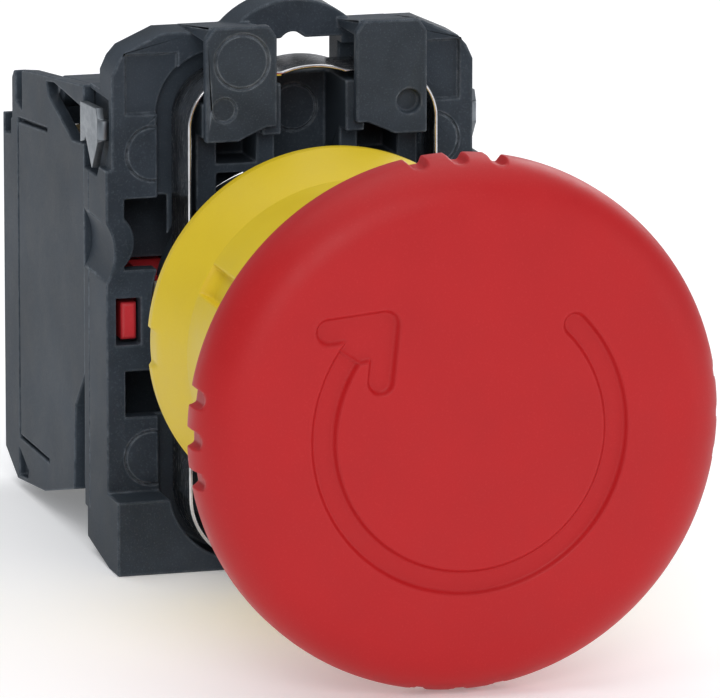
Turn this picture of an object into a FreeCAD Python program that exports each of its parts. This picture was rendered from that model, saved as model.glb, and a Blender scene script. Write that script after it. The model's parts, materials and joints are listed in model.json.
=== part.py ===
"""Panel-mount emergency stop button: mushroom head, fixing collar and two contact blocks.

Frame: +X right and +Z up as seen by the operator, +Y from the panel's front towards its rear.
The origin is on the push axis, in the plane where the gasket seats on the panel. Millimetres.
"""

import FreeCAD
import Part
import math
import os

V = FreeCAD.Vector
PUSH_AXIS = V(0, 1, 0)

# Running clearances
RUN = 0.1            # a shaft in its bearing
LOOSE = 0.3          # a moulded piece in its window

# Mushroom head
HEAD_R = 20.0
HEAD_TOP_Y = -39.0
RIM_CENTRE_Y = -34.4
RIM_CORNER_R = 3.8
RIM_EDGE_Y = -33.2
HEAD_WALL = 1.8
SKIRT_R = 10.6
SKIRT_BORE_R = 9.4
SKIRT_FRONT_Y = -26.0
SKIRT_REAR_Y = -14.0
GRIP_NOTCH_W = 1.3
GRIP_NOTCH_DEPTH = 0.65
GRIP_NOTCH_STEP = 8.8      # degrees between the notches of a group of three
ARROW_R = 12.0
ARROW_BAND = 1.85
ARROW_DEPTH = 0.45
ARROW_TAIL_ANGLE = 44.0    # degrees, counter-clockwise from +X as seen from the front
ARROW_TIP_ANGLE = 126.7
ARROW_NECK_ANGLE = 146.0
ARROW_LEG = 4.25
ARROW_LEG_R = 1.0

# Bezel, gasket and barrel
BEZEL_R = 14.5
BEZEL_REAR_Y = -0.8
BEZEL_EDGE_Y = -1.9
CREASE_Y = -7.0
CREASE_R = 12.95
BEZEL_FRONT_Y = -18.5
BEZEL_BORE_R = 10.9
BEZEL_NOTCH_W = 2.45
BEZEL_NOTCH_ANGLE = 152.6
BARREL_R = 10.7
LAND_R = 11.1              # the land that centres the barrel in the panel's hole
LAND_REAR_Y = 2.4
BARREL_BORE_R = 9.2
BARREL_FRONT_Y = -6.0
BARREL_REAR_Y = 12.0
BARREL_ROUND_Y = 3.4       # the barrel is fully round up to here, flats for the bail follow

# Carriage: what slides when the head is pushed
SPINDLE_R = 3.3
SPINDLE_FRONT_Y = -36.0
HUB_R = 8.6
HUB_FRONT_Y = 7.2
DRIVE_REAR_Y = 10.9
ARM_X = 11.0
ARM_HALF_Z = 2.2

# Fixing collar
COLLAR_X = 15.0
COLLAR_UPPER_X = 14.5
PLATE_Y = 9.5
PLATE_BACK_Y = 11.2
COLLAR_REAR_Y = 16.5
COLLAR_TOP_REAR_Y = 13.3   # above the contact blocks the collar is less deep
COLLAR_TOP_Z = 21.9
FOOT_TOP_Z = -14.2
FOOT_BOTTOM_Z = -20.1
FOOT_Y = 6.3
INNER_FRAME_Y = 5.6
TAB_Y = 2.7
TAB_THICK = 0.9
TAB_TOP_Z = 23.3
ARCH_TOP_Z = 24.1

# Locking bail
BAIL_HALF_X = 9.95
BAIL_TOP_Z = 19.5
BAIL_BOTTOM_Z = -18.9
BAIL_THICK = 0.3
BAIL_FRONT_Y = 3.7
BAIL_REAR_Y = 8.9
BAIL_TOP_CORNER = 4.1
BAIL_BOTTOM_CORNER = 5.3
BAIL_LIFT = 2.0
BAIL_GAP = 0.9             # between the bail and the collar, all round
MOAT_DEPTH = 1.2

# Clamp screw with its pad
SCREW_Z = -13.05
SCREW_R = 1.0
PAD_SLEEVE_R = 1.75
PAD_FRONT_Y = 3.6

# Contact blocks
BLOCK_IN_X = 5.05
BLOCK_OUT_X = 14.95
COVER_THICK = 1.0
BLOCK_WALL = 1.1
BLOCK_MID_X = 10.0
BLOCK_FRONT_Y = 16.6
BLOCK_TOP_Z = 16.8
BLOCK_REAR_Y = 40.0
SHROUD_Y = 42.9
SHROUD_TOP_Z = 10.0
PLUNGER_X = 2.8
PLUNGER_Z = 5.2
PLUNGER_FRONT_Y = 10.95
PLUNGER_STEP_Y = 12.4
FLAG_X = (12.4, 13.65)
FLAG_Z = (-2.2, 0.75)
PLUNGER_REAR_Y = 30.0
BRIDGE_X = 1.8
TERMINAL_Z = (6.5, -13.0)
TIP_Z = 7.0


def box(x0, x1, y0, y1, z0, z1):
    """A box between two corners, given in any order along X."""
    return Part.makeBox(abs(x1 - x0), y1 - y0, z1 - z0, V(min(x0, x1), y0, z0))


def rod(r, y0, y1, x=0.0, z=0.0):
    """A round bar along Y."""
    return Part.makeCylinder(r, y1 - y0, V(x, y0, z), PUSH_AXIS)


def tube(r_out, r_in, y0, y1, x=0.0, z=0.0):
    return rod(r_out, y0, y1, x, z).cut(rod(r_in, y0 - 1, y1 + 1, x, z))


def merged(*shapes):
    whole = shapes[0]
    for shape in shapes[1:]:
        whole = whole.fuse(shape)
    return whole.removeSplitter()


def prism_x(outline, x0, x1, inset=0.0):
    """Extrude a closed (y, z) outline along X, drawn in by inset all round."""
    low = min(x0, x1)
    points = [V(low, y, z) for y, z in outline]
    face = Part.Face(Part.makePolygon(points + points[:1]))
    if inset:
        face = face.makeOffset2D(-inset, 2)
    return face.extrude(V(abs(x1 - x0), 0, 0))


def prism_y(outline, y0, y1):
    """Extrude a closed (x, z) outline along Y."""
    points = [V(x, y0, z) for x, z in outline]
    face = Part.Face(Part.makePolygon(points + points[:1]))
    return face.extrude(V(0, y1 - y0, 0))


def turned(edges):
    """Revolve edges drawn in the X-Y plane, x being the radius, about the push axis."""
    face = Part.Face(Part.Wire(Part.__sortEdges__(edges)))
    return face.revolve(V(0, 0, 0), PUSH_AXIS, 360)


def lines(points):
    """Straight edges through (radius, y) points."""
    corners = [V(r, y, 0) for r, y in points]
    return [Part.makeLine(a, b) for a, b in zip(corners, corners[1:])]


def about_axis(shape, degrees):
    """A copy turned about the push axis, counter-clockwise as seen from the front."""
    copy = shape.copy()
    copy.rotate(V(0, 0, 0), PUSH_AXIS, -degrees)
    return copy


def mirrored(shape):
    return shape.mirror(V(0, 0, 0), V(1, 0, 0))


def rounded_frame(half_x, z0, z1, corner_low, corner_high, y0, y1):
    """A solid bar of rounded-rectangle section along Y, with its own radius low and high."""
    edges = []
    k = math.sqrt(0.5)

    def corner(cx, cz, r, sx, sz):
        a = V(cx + sx * r, y0, cz)
        b = V(cx + sx * r * k, y0, cz + sz * r * k)
        c = V(cx, y0, cz + sz * r)
        edges.append(Part.Arc(a, b, c).toShape())
        return a, c

    right_high = corner(half_x - corner_high, z1 - corner_high, corner_high, 1, 1)
    left_high = corner(corner_high - half_x, z1 - corner_high, corner_high, -1, 1)
    right_low = corner(half_x - corner_low, z0 + corner_low, corner_low, 1, -1)
    left_low = corner(corner_low - half_x, z0 + corner_low, corner_low, -1, -1)
    edges.append(Part.makeLine(right_high[1], left_high[1]))
    edges.append(Part.makeLine(right_low[1], left_low[1]))
    edges.append(Part.makeLine(right_high[0], right_low[0]))
    edges.append(Part.makeLine(left_high[0], left_low[0]))
    face = Part.Face(Part.Wire(Part.__sortEdges__(edges)))
    return face.extrude(V(0, y1 - y0, 0))


def coil(mean_r, wire_r, y0, y1, turns, x=0.0, z=0.0):
    """A helical spring along Y whose wire just reaches y0 and y1."""
    height = y1 - y0 - 2 * wire_r
    path = Part.makeHelix(height / turns, height, mean_r)
    start = Part.makeCircle(wire_r, V(mean_r, 0, 0), PUSH_AXIS)
    solid = Part.Wire(path).makePipeShell([Part.Wire(start)], True, True)
    solid.rotate(V(0, 0, 0), V(1, 0, 0), -90)
    solid.translate(V(x, y0 + wire_r, z))
    return solid


def save(node, shape):
    shape.exportStep("parts/" + node + ".step")


# ---------------------------------------------------------------- head


def rim_edge_point():
    """Where the domed face meets the rounded rim, in (radius, y)."""
    slope = math.radians(5)
    r = HEAD_R - RIM_CORNER_R + RIM_CORNER_R * math.sin(slope)
    y = RIM_CENTRE_Y - RIM_CORNER_R * math.cos(slope)
    return r, y


def head_outline(inset):
    """Dome and rim edges, moved inwards by the wall thickness."""
    r, y = rim_edge_point()
    corner_r = RIM_CORNER_R - inset
    corner_x = HEAD_R - RIM_CORNER_R
    top = HEAD_TOP_Y + inset
    edge_y = y + inset
    dome = Part.Arc(V(0, top, 0), V(r / 2, top + (edge_y - top) * 0.25, 0), V(r, edge_y, 0))
    tilt = math.radians(45)
    mid = V(corner_x + corner_r * math.sin(tilt), RIM_CENTRE_Y - corner_r * math.cos(tilt), 0)
    rim = Part.Arc(V(r, edge_y, 0), mid, V(corner_x + corner_r, RIM_CENTRE_Y, 0))
    return [dome.toShape(), rim.toShape()]


def arrow_solid():
    """The turn-to-release arrow as a bar that is cut into the face."""
    y0 = HEAD_TOP_Y - 2
    height = 8.0
    inner_r = ARROW_R - ARROW_BAND
    mean_r = ARROW_R - ARROW_BAND / 2

    def at(radius, degrees):
        angle = math.radians(degrees)
        return V(radius * math.cos(angle), y0, radius * math.sin(angle))

    def slab(points):
        return Part.Face(Part.makePolygon(points + points[:1])).extrude(V(0, height, 0))

    # the band runs clockwise from its round tail to the arrow's neck
    middle = (ARROW_TAIL_ANGLE + ARROW_NECK_ANGLE - 360) / 2
    ends = (ARROW_TAIL_ANGLE, middle, ARROW_NECK_ANGLE)
    outer = Part.Arc(*[at(ARROW_R, angle) for angle in ends]).toShape()
    inner = Part.Arc(*[at(inner_r, angle) for angle in ends]).toShape()
    tail = Part.makeLine(at(ARROW_R, ARROW_TAIL_ANGLE), at(inner_r, ARROW_TAIL_ANGLE))
    neck = Part.makeLine(at(ARROW_R, ARROW_NECK_ANGLE), at(inner_r, ARROW_NECK_ANGLE))
    band = Part.Face(Part.Wire(Part.__sortEdges__([outer, inner, tail, neck])))
    pieces = [band.extrude(V(0, height, 0))]
    pieces.append(Part.makeCylinder(ARROW_BAND / 2, height, at(mean_r, ARROW_TAIL_ANGLE), PUSH_AXIS))

    # the head is two round-ended legs that meet at the tip, filled up to the neck
    tip = at(mean_r - 0.4, ARROW_TIP_ANGLE)
    pieces.append(Part.makeCylinder(ARROW_LEG_R, height, tip, PUSH_AXIS))
    fill = [tip]
    for spread, neck_r in ((-39.0, ARROW_R), (39.0, inner_r)):
        angle = math.radians(ARROW_TIP_ANGLE + 98.0 + spread)
        along = V(math.cos(angle), 0, math.sin(angle))
        side = V(-along.z, 0, along.x) * ARROW_LEG_R
        end = tip + along * ARROW_LEG
        pieces.append(Part.makeCylinder(ARROW_LEG_R, height, end, PUSH_AXIS))
        pieces.append(slab([tip + side, end + side, end - side, tip - side]))
        half_way = tip + along * ARROW_LEG * 0.6
        rim = at(neck_r, ARROW_NECK_ANGLE)
        fill += [half_way, rim] if spread < 0 else [rim, half_way]
    pieces.append(slab(fill))
    return merged(*pieces)


def face_shell(depth):
    """The layer of the given depth under the domed face, wide enough for the arrow."""
    r, y = rim_edge_point()
    top = HEAD_TOP_Y

    def dome(shift):
        low = V(0, top + shift, 0)
        mid = V(r / 2, top + (y - top) * 0.25 + shift, 0)
        return Part.Arc(low, mid, V(r, y + shift, 0)).toShape()

    sides = lines([(0, top - 1), (0, top + depth)]) + lines([(r, y - 1), (r, y + depth)])
    return turned([dome(-1), dome(depth)] + sides)


def mushroom_cap():
    outline = head_outline(0.0)
    outline += lines([
        (HEAD_R, RIM_CENTRE_Y),
        (HEAD_R, RIM_EDGE_Y),
        (SKIRT_R, SKIRT_FRONT_Y),
        (SKIRT_R, SKIRT_REAR_Y),
        (0, SKIRT_REAR_Y),
        (0, HEAD_TOP_Y),
    ])
    solid = turned(outline)
    hollow = head_outline(HEAD_WALL)
    hollow += lines([
        (HEAD_R - HEAD_WALL, RIM_CENTRE_Y),
        (HEAD_R - HEAD_WALL - 0.6, RIM_EDGE_Y - 1.6),
        (SKIRT_BORE_R, SKIRT_FRONT_Y - 1.6),
        (SKIRT_BORE_R, SKIRT_REAR_Y + 1),
        (0, SKIRT_REAR_Y + 1),
        (0, HEAD_TOP_Y + HEAD_WALL),
    ])
    solid = solid.cut(turned(hollow))
    # boss that takes the spindle's head, and four ribs from it to the rim
    boss = tube(5.8, 4.2, HEAD_TOP_Y + 1.2, -29.05)
    solid = merged(solid, boss)
    for quarter in range(4):
        rib = box(5.7, SKIRT_BORE_R + 0.5, HEAD_TOP_Y + 1.4, -31.0, -0.6, 0.6)
        solid = solid.fuse(about_axis(rib, 45 + 90 * quarter))
    # grip notches at the four quarters of the rim
    notch_x = HEAD_R - GRIP_NOTCH_DEPTH
    notch = box(notch_x, HEAD_R + 1, -35.3, -32.0, -GRIP_NOTCH_W / 2, GRIP_NOTCH_W / 2)
    notch_end = Part.makeCylinder(GRIP_NOTCH_W / 2, 3, V(notch_x, -35.3, 0), V(1, 0, 0))
    notch = notch.fuse(notch_end)
    for quarter in range(4):
        for step in (-1, 0, 1):
            solid = solid.cut(about_axis(notch, 90 * quarter + step * GRIP_NOTCH_STEP))
    solid = solid.cut(arrow_solid().common(face_shell(ARROW_DEPTH)))
    return solid.removeSplitter()


def twist_hub():
    """Inner hub of the head: a disc in the skirt and a tube round the spindle with two lugs."""
    bore = SPINDLE_R + RUN
    disc = rod(SKIRT_BORE_R - 0.1, -29.0, -27.4)
    sleeve = rod(5.0, -27.4, -9.0)
    hub = merged(disc, sleeve)
    for side in (1, -1):
        lug = box(side * 4.5, side * 6.5, -11.0, -9.0, -1.5, 1.5)
        hub = hub.fuse(lug)
    spring_hole = rod(0.5, -30, -26, 6.2, 0)
    return hub.cut(rod(bore, -40, 0)).cut(spring_hole)


def twist_spring():
    """Torsion spring that turns the head back after the release twist."""
    return coil(6.2, 0.4, -27.3, -20.0, 5)


def latch_carrier():
    """Cup on the spindle that carries the two latch pawls."""
    cup = rod(8.8, -19.0, -7.0).cut(rod(6.9, -20, -8.6)).cut(rod(SPINDLE_R, -20, 0))
    for side in (1, -1):
        cup = cup.cut(box(side * 6.5, side * 9.0, -13.3, -10.7, -1.3, 1.3))
    return cup


def latch_pawls():
    """Two hardened wedges that drop behind the barrel's front edge when the head is pushed."""
    pawls = []
    for side in (1, -1):
        outline = [(7.0, -13.2), (8.3, -13.2), (8.9, -12.2), (8.9, -10.8), (7.0, -10.8)]
        points = [V(side * x, y, -1.2) for x, y in outline]
        face = Part.Face(Part.makePolygon(points + points[:1]))
        pawls.append(face.extrude(V(0, 0, 2.4)))
    return Part.makeCompound(pawls)


def spindle():
    """Shaft from the head's boss back to the drive plate, with a groove for the retaining ring."""
    shaft = rod(SPINDLE_R, SPINDLE_FRONT_Y, 9.9)
    shaft = shaft.makeChamfer(0.4, [shaft.Edges[0]])
    shaft = shaft.cut(tube(5.0, SPINDLE_R - 0.5, -30.0, -29.1))
    return shaft


def retaining_ring():
    """Spring ring in the spindle's groove that keeps the hub on the shaft."""
    ring = tube(4.0, SPINDLE_R - 0.45, -29.95, -29.15)
    return ring.cut(box(-0.9, 0.9, -31, -28, 0, 5))


def drive_plate():
    """Hub and two arms that press the contact blocks' plungers."""
    hub = rod(HUB_R, HUB_FRONT_Y, DRIVE_REAR_Y)
    arms = box(-ARM_X, ARM_X, DRIVE_REAR_Y - 1.3, DRIVE_REAR_Y, -ARM_HALF_Z, ARM_HALF_Z)
    plate = merged(hub, arms)
    plate = plate.cut(rod(SPINDLE_R, 0, 9.9))
    # spring seat in front and lightening pockets behind
    plate = plate.cut(tube(6.9, 5.1, HUB_FRONT_Y - 1, HUB_FRONT_Y + 0.8))
    for angle in (45, 135, 225, 315):
        pocket = rod(1.6, 9.2, 12, 5.6, 0)
        plate = plate.cut(about_axis(pocket, angle))
    return plate


def trip_spring():
    """Compression spring that snaps the carriage rearwards once the head is pushed."""
    return coil(6.0, 0.5, 0.6, 7.9, 5.25)


# ---------------------------------------------------------------- bezel and barrel


def bezel_ring():
    profile = [
        (BARREL_R + 0.05, BEZEL_REAR_Y),
        (BEZEL_R - 0.3, BEZEL_REAR_Y),
        (BEZEL_R, BEZEL_REAR_Y - 0.3),
        (BEZEL_R, BEZEL_EDGE_Y),
        (CREASE_R, CREASE_Y),
        (CREASE_R, BEZEL_FRONT_Y + 0.4),
        (CREASE_R - 0.4, BEZEL_FRONT_Y),
        (BEZEL_BORE_R, BEZEL_FRONT_Y),
        (BEZEL_BORE_R, BARREL_FRONT_Y - 0.2),
        (BARREL_R + 0.05, BARREL_FRONT_Y - 0.2),
        (BARREL_R + 0.05, BEZEL_REAR_Y),
    ]
    ring = turned(lines(profile))
    ring = ring.cut(tube(11.9, 10, -17.4, -16.0))
    # four keys for the wrench, from the crease forwards
    notch = box(BEZEL_BORE_R + 1.0, BEZEL_R, -20, CREASE_Y - 0.1, -BEZEL_NOTCH_W / 2, BEZEL_NOTCH_W / 2)
    for quarter in range(4):
        ring = ring.cut(about_axis(notch, BEZEL_NOTCH_ANGLE + 90 * quarter))
    # shallow flat on the flange's edge at nine o'clock
    ring = ring.cut(box(-BEZEL_R - 1, -BEZEL_R + 0.3, -3.2, 0, -1.55, 1.1))
    return ring.removeSplitter()


def lip_seal():
    """Rubber ring in the bezel's groove that wipes the head's skirt."""
    profile = [
        (11.85, -17.35), (11.85, -16.05), (10.95, -16.05),
        (10.72, -16.6), (10.72, -16.9), (10.95, -17.35), (11.85, -17.35),
    ]
    return turned(lines(profile))


def panel_gasket():
    gasket = tube(14.0, LAND_R + 0.05, BEZEL_REAR_Y + 0.02, 0.0)
    groove = tube(12.9, 12.3, -0.9, -0.6)
    return gasket.cut(groove)


def operator_body():
    """Barrel through the panel, with the shelf that guides the spindle."""
    body = tube(BARREL_R, BARREL_BORE_R, BARREL_FRONT_Y, BARREL_REAR_Y)
    land = tube(LAND_R, BARREL_R - 0.5, 0.0, LAND_REAR_Y)
    shelf = tube(BARREL_BORE_R + 0.2, SPINDLE_R + RUN, -1.0, 0.5)
    body = merged(body, land, shelf)
    # flats for the bail's legs
    for side in (1, -1):
        body = body.cut(box(side * 9.35, side * 12, BARREL_ROUND_Y, BAIL_REAR_Y + 0.3, -12, 12))
    # slots for the drive plate's arms, open to the rear
    body = body.cut(box(-12, 12, 9.4, 13, -ARM_HALF_Z - 0.2, ARM_HALF_Z + 0.2))
    # latch groove behind the front edge, and a locating key at the top
    body = body.cut(tube(9.9, 9.0, -4.4, -3.2))
    body = body.cut(box(-1.6, 1.6, 3.8, 13, BARREL_R - 1.0, BARREL_R + 1))
    return body


# ---------------------------------------------------------------- fixing collar


def collar_plate_outline():
    """Outline of the upper plate in (x, z), with the sloping shoulders."""
    right = [
        (COLLAR_X, FOOT_TOP_Z),
        (COLLAR_X, 11.3),
        (COLLAR_UPPER_X, 11.3),
        (COLLAR_UPPER_X, 18.7),
        (14.0, 19.8),
        (13.3, 20.6),
        (10.4, COLLAR_TOP_Z),
    ]
    left = [(-x, z) for x, z in reversed(right)]
    return right + left


def fixing_collar():
    plate = prism_y(collar_plate_outline(), PLATE_Y, COLLAR_REAR_Y)
    # foot: deeper and further forward than the plate, its rear edge cut back
    foot = prism_x([
        (FOOT_Y, FOOT_TOP_Z), (FOOT_Y, FOOT_BOTTOM_Z), (9.2, FOOT_BOTTOM_Z),
        (COLLAR_REAR_Y - 0.6, -19.0), (COLLAR_REAR_Y - 0.6, -16.6), (COLLAR_REAR_Y, -16.6),
        (COLLAR_REAR_Y, FOOT_TOP_Z),
    ], -COLLAR_X, COLLAR_X)
    # arch over the bail, on a circle through its crest and both springings
    arch_half = 5.0
    arch_rise = ARCH_TOP_Z - COLLAR_TOP_Z
    arch_r = (arch_half ** 2 + arch_rise ** 2) / (2 * arch_rise)
    arch = rod(arch_r, PLATE_Y, COLLAR_TOP_REAR_Y, 0, ARCH_TOP_Z - arch_r)
    arch = arch.common(box(-arch_half, arch_half, PLATE_Y, COLLAR_TOP_REAR_Y, COLLAR_TOP_Z - 2, 30))
    plate = plate.cut(box(-16, 16, COLLAR_TOP_REAR_Y, COLLAR_REAR_Y + 1, BLOCK_TOP_Z + 0.2, 30))
    collar = merged(plate, foot, arch)

    # pocket behind the plate for the drive plate and the plungers
    collar = collar.cut(box(-13.4, 13.4, PLATE_BACK_Y, COLLAR_REAR_Y + 1, -11.6, 15.4))
    collar = collar.cut(rod(LAND_R + LOOSE, PLATE_Y - 1, PLATE_BACK_Y + 1))
    # everything inside the bail's loop is open in front of the plate, with a moat behind the bail
    half = BAIL_HALF_X + BAIL_GAP
    low_corner = BAIL_BOTTOM_CORNER + BAIL_GAP
    low_z = BAIL_BOTTOM_Z - BAIL_GAP / 2
    collar = collar.cut(rounded_frame(half, low_z, 30, low_corner, 1.0, FOOT_Y - 1, PLATE_Y))
    high_corner = BAIL_TOP_CORNER + BAIL_GAP
    moat = rounded_frame(half, low_z, BAIL_TOP_Z + BAIL_GAP, low_corner, high_corner,
                         PLATE_Y - 1, PLATE_Y + MOAT_DEPTH)
    inside = 2 * BAIL_GAP
    moat = moat.cut(rounded_frame(half - inside, low_z + inside, BAIL_TOP_Z + BAIL_GAP - inside,
                                  low_corner - inside, high_corner - inside, 0, 20))
    collar = collar.cut(moat)

    # frame of four posts and two tabs in front of the bail's top run
    post_top = COLLAR_TOP_Z - 1.6
    for side in (1, -1):
        for inner, outer, top_z in ((2.56, 4.05, 18.6), (7.2, 8.85, 17.3)):
            foot_z = math.sqrt((BARREL_R + LOOSE) ** 2 - inner ** 2) + 0.2
            post = box(side * inner, side * outer, INNER_FRAME_Y, PLATE_Y + 0.1, foot_z, top_z)
            web = box(side * inner, side * outer, TAB_Y + 1, INNER_FRAME_Y + 0.1, 14.6, top_z)
            collar = collar.fuse(post).fuse(web)
        sill = box(side * 2.56, side * 8.85, INNER_FRAME_Y, PLATE_Y + 0.1, 11.45, 12.2)
        collar = collar.fuse(sill.cut(rod(BARREL_R + LOOSE, 0, 20)))
        tab = [
            (3.15, 15.4), (4.0, 15.4), (5.6, 14.7), (6.2, 14.4), (8.8, 14.4),
            (8.8, TAB_TOP_Z - 0.9), (8.1, TAB_TOP_Z), (3.8, TAB_TOP_Z), (3.15, TAB_TOP_Z - 0.9),
        ]
        tab = prism_y([(side * x, z) for x, z in tab], TAB_Y, TAB_Y + TAB_THICK)
        # roof from the tab back to the collar's top edge, high enough for the lifted bail
        lintel_z = BAIL_TOP_Z + BAIL_LIFT + LOOSE
        tab_back = TAB_Y + TAB_THICK - 0.1
        roof = prism_x([
            (tab_back, lintel_z), (tab_back, TAB_TOP_Z - 0.2), (COLLAR_TOP_REAR_Y, COLLAR_TOP_Z),
            (COLLAR_TOP_REAR_Y - 1, COLLAR_TOP_Z - 1), (PLATE_Y + 0.5, COLLAR_TOP_Z - 1),
            (PLATE_Y + 0.5, lintel_z),
        ], side * 3.6, side * 8.3)
        collar = collar.fuse(tab).fuse(roof)
        # marks on the tabs and the plate
        hole_deep = TAB_THICK - 0.15 if side > 0 else 0.25
        collar = collar.cut(rod(0.95, TAB_Y - 1, TAB_Y + hole_deep, side * 7.35, 16.9))
        for mark_x, mark_z in ((11.2, 12.5), (11.4, -11.5)):
            collar = collar.cut(tube(2.2, 2.06, PLATE_Y - 1, PLATE_Y + 0.2, side * mark_x, mark_z))
        collar = collar.cut(box(side * 9.2, side * 13.4, PLATE_Y - 1, PLATE_Y + 0.35, 15.6, post_top))
        # windows over the contact block's clip pockets and over the plunger's flag
        upper = box(side * 9.8, side * 13.5, PLATE_Y - 1, PLATE_BACK_Y + 1, 3.4, 9.0)
        upper = upper.cut(rod(2.6, 8, 13, side * 15.3, 5.6))
        lower = box(side * 9.8, side * 13.5, PLATE_Y - 1, PLATE_BACK_Y + 1, -8.2, -4.6)
        flag = box(side * 12.24, side * 14.2, PLATE_Y - 1, COLLAR_REAR_Y + 1, -2.5, 1.2)
        collar = collar.cut(upper).cut(lower).cut(flag)
        # thumb scoop on the side wall and the recess that holds the steel clip
        scoop = Part.makeCylinder(4.57, 12, V(side * (COLLAR_X + 3.92), PLATE_Y - 1, 4.8), PUSH_AXIS)
        collar = collar.cut(scoop)
        recess = prism_x([(10.5, 16.6), (17, 16.6), (17, 10.4), (12.4, 10.4), (10.5, 13.2)],
                         side * 14.0, side * 16)
        collar = collar.cut(recess)
        seam = box(side * (COLLAR_X - 0.15), side * (COLLAR_X + 1), 14.9, 15.05, -16.4, 10.4)
        collar = collar.cut(seam)
    # plain ring on the left-hand tab, and a mark on the wall between the tabs
    collar = collar.cut(tube(2.2, 2.02, TAB_Y - 1, TAB_Y + 0.15, -5.95, 20.6))
    collar = collar.cut(tube(1.9, 1.76, PLATE_Y - 1, PLATE_Y + 0.2, 0, 15.6))
    # see-through hole under the arch, with a raised middle
    eye = box(-3.9, 3.9, PLATE_Y - 1, COLLAR_REAR_Y + 1, 18.4, 21.0)
    eye = eye.fuse(rod(1.1, PLATE_Y - 1, COLLAR_REAR_Y + 1, 0, 20.4))
    collar = collar.cut(eye)
    # clamp screw: sleeve bore in front, screw bore and head pocket behind
    collar = collar.cut(rod(PAD_SLEEVE_R + RUN, PLATE_Y - 1, 13.0, 0, SCREW_Z))
    collar = collar.cut(rod(SCREW_R + 0.3, 12, 15, 0, SCREW_Z))
    collar = collar.cut(rod(2.2, 14.5, COLLAR_REAR_Y + 1, 0, SCREW_Z))
    return collar.removeSplitter()


def locking_bail():
    """Closed loop of spring strip that locks the collar on the barrel, bowed up in its top run."""
    outer = rounded_frame(BAIL_HALF_X, BAIL_BOTTOM_Z, BAIL_TOP_Z, BAIL_BOTTOM_CORNER,
                          BAIL_TOP_CORNER, BAIL_FRONT_Y, BAIL_REAR_Y)
    inner = rounded_frame(BAIL_HALF_X - BAIL_THICK, BAIL_BOTTOM_Z + BAIL_THICK,
                          BAIL_TOP_Z - BAIL_THICK, BAIL_BOTTOM_CORNER - BAIL_THICK,
                          BAIL_TOP_CORNER - BAIL_THICK, BAIL_FRONT_Y - 1, BAIL_REAR_Y + 1)
    loop = outer.cut(inner)
    # the bow that a screwdriver lifts
    bow_half = 2.6
    bow_rise = 0.45
    bow_r = (bow_half ** 2 + bow_rise ** 2) / (2 * bow_rise)
    centre_z = BAIL_TOP_Z + bow_rise - bow_r
    slot = box(-bow_half, bow_half, 0, 20, BAIL_TOP_Z - 2, BAIL_TOP_Z + 2)
    bow = rod(bow_r, BAIL_FRONT_Y, BAIL_REAR_Y, 0, centre_z)
    bow = bow.cut(rod(bow_r - BAIL_THICK, 0, 20, 0, centre_z)).common(slot)
    return merged(loop.cut(slot), bow)


def side_clip(side):
    """Steel leaf in the collar's side recess: a hooked tongue with a rounded stop in front."""
    leaf = prism_x([
        (16.45, 15.6), (11.5, 15.9), (11.1, 15.1), (11.1, 13.3), (12.9, 10.95), (14.4, 12.7),
        (14.9, 13.2), (15.4, 12.7), (16.45, 12.4),
    ], side * 14.65, side * 15.25)
    stop = Part.makeCylinder(0.5, 1.5, V(side * 14.72, 11.12, 13.5), V(0, 0, 1))
    return merged(leaf, stop)


def clamp_pad():
    """Pressure pad with a threaded sleeve, pushed against the panel by the clamp screw."""
    face = box(-3.4, 3.4, PAD_FRONT_Y, PAD_FRONT_Y + 1.4, -14.8, -11.4)
    face = face.cut(rod(LAND_R + 0.2, 0, 20))
    sleeve = rod(PAD_SLEEVE_R, PAD_FRONT_Y + 1.3, 12.4, 0, SCREW_Z)
    pad = merged(face, sleeve)
    return pad.cut(rod(SCREW_R + 0.06, PAD_FRONT_Y + 0.6, 14, 0, SCREW_Z))


def clamp_screw():
    shank = rod(SCREW_R, PAD_FRONT_Y + 0.9, 14.7, 0, SCREW_Z)
    head = rod(2.0, 14.6, 15.9, 0, SCREW_Z)
    screw = merged(shank, head)
    return screw.cut(box(-3, 3, 15.2, 17, SCREW_Z - 0.3, SCREW_Z + 0.3))


# ---------------------------------------------------------------- contact blocks


def block_outline():
    """Side outline of a contact block's housing in (y, z), stepped down behind its highest part."""
    return [
        (BLOCK_FRONT_Y, BLOCK_TOP_Z), (27.2, 15.65), (28.2, 14.1), (39.3, 13.2), (BLOCK_REAR_Y, 12.9),
        (BLOCK_REAR_Y, -18.9), (38.9, -19.4), (30.0, -18.5), (20.3, -16.2),
        (BLOCK_FRONT_Y, -15.9),
    ]


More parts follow.
